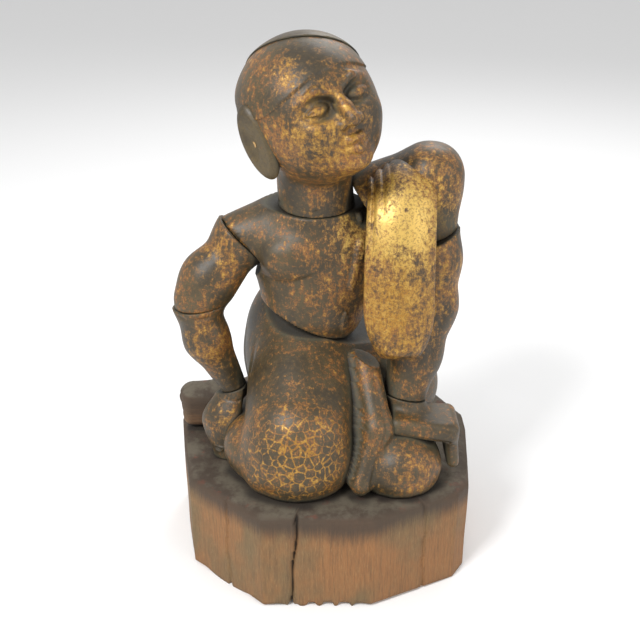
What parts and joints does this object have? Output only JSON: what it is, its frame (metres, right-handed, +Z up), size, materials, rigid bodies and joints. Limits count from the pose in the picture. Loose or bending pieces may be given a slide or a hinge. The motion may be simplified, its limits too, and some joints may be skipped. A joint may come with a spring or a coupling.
{
  "type": "carved kneeling monk figure",
  "caption": "Carved and gilded wooden figure of a seated monk on an eight-sided block, one hand on the hip side and one on the knee.",
  "frame": {"origin": "centre of the bounding box at the underside of the block", "axes": "+Z up, -Y towards the figure's front, +X to the viewer's right"},
  "size_m": [0.28, 0.269, 0.4668],
  "materials": {
    "block_wood": "bare weathered end and side grain, stained dark along the top edge",
    "gilded_lacquer": "rubbed gold leaf over dark lacquer on carved wood",
    "dark_lacquer": "dark brown lacquer, dusty and worn",
    "dowel_wood": "bare split wood"
  },
  "bodies": {
    "root": {"plinth": "block_wood", "legs_block": "gilded_lacquer", "torso": "gilded_lacquer", "head": "gilded_lacquer", "left_sleeve": "gilded_lacquer", "left_arm": "gilded_lacquer", "left_hand": "gilded_lacquer", "right_upper_arm": "gilded_lacquer", "right_forearm": "gilded_lacquer", "right_hand": "gilded_lacquer", "shoulder_cloth": "gilded_lacquer", "right_foot": "dark_lacquer", "right_ear": "dark_lacquer", "left_ear": "dark_lacquer", "crown_cap": "dark_lacquer", "plinth_dowel_front": "dowel_wood", "plinth_dowel_back": "dowel_wood", "waist_dowel_left": "dowel_wood", "waist_dowel_right": "dowel_wood", "neck_dowel": "dowel_wood", "right_shoulder_dowel": "dowel_wood", "right_elbow_dowel": "dowel_wood", "right_wrist_dowel": "dowel_wood", "left_shoulder_dowel": "dowel_wood", "left_arm_dowel": "dowel_wood", "left_wrist_dowel": "dowel_wood", "crown_peg": "dowel_wood", "right_ear_peg": "dowel_wood", "left_ear_peg": "dowel_wood"}
  },
  "joints": []
}
